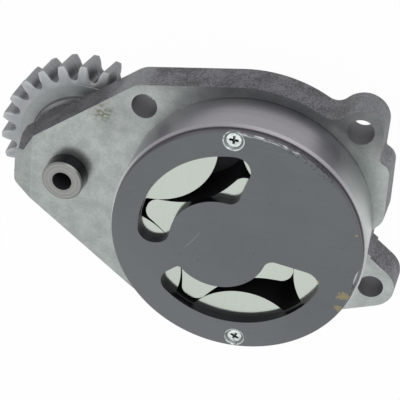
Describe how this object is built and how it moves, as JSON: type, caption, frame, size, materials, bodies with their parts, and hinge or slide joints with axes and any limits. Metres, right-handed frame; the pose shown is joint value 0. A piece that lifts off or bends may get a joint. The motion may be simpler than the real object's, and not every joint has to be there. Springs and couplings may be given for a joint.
{
  "type": "engine oil pump",
  "caption": "Gerotor oil pump: cast flanged body, plate with kidney ports over lobed rotors, keyed shaft, helical drive gear and idler gear on a hollow shaft that locates the pump.",
  "frame": {"origin": "where the axis of the round pump body meets the flange's machined mounting face", "axes": "+Z along the pump body's axis, from the flange into the engine block, with the port plate at the far end; +X from the pump shaft towards the idler gear's shaft"},
  "size_m": [0.155, 0.0957, 0.0524],
  "materials": {
    "housing_iron": "cast, machined face",
    "plate_steel": "ground, dark",
    "rotor_steel": "sintered and ground",
    "gear_steel": "cut and tumbled",
    "shaft_steel": "ground",
    "screw_zinc": "bright zinc plated",
    "clip_steel": "phosphated spring steel",
    "bush_bronze": "sintered bronze"
  },
  "bodies": {
    "housing": {"pump_housing": "housing_iron", "port_plate": "plate_steel", "plate_screw_1": "screw_zinc", "plate_screw_2": "screw_zinc", "shaft_bush": "bush_bronze", "drive_thrust_washer": "shaft_steel", "idler_shaft": "shaft_steel", "idler_plug": "shaft_steel", "idler_thrust_washer": "shaft_steel", "idler_end_washer": "shaft_steel", "idler_circlip": "clip_steel"},
    "shaft": {"pump_shaft": "shaft_steel", "inner_rotor": "rotor_steel", "rotor_key": "shaft_steel", "gear_key": "shaft_steel", "drive_gear": "gear_steel", "drive_circlip": "clip_steel"},
    "ring": {"outer_rotor": "rotor_steel"},
    "idler": {"idler_gear": "gear_steel", "idler_bush": "bush_bronze"}
  },
  "joints": [
    {"name": "shaft_spin", "type": "hinge", "parent": "housing", "child": "shaft", "pos_m": [0.0053, 0.00145, 0], "axis": [0, 0, 1], "continuous": true},
    {"name": "ring_spin", "type": "hinge", "parent": "housing", "child": "ring", "pos_m": [0.0005, -0.0008, 0], "axis": [0, 0, 1], "continuous": true},
    {"name": "idler_spin", "type": "hinge", "parent": "housing", "child": "idler", "pos_m": [0.0653, 0.00145, 0], "axis": [0, 0, 1], "continuous": true}
  ],
  "couplings": [
    {"joint": "ring_spin", "follows": "shaft_spin", "ratio": 0.8},
    {"joint": "idler_spin", "follows": "shaft_spin", "ratio": -1}
  ]
}
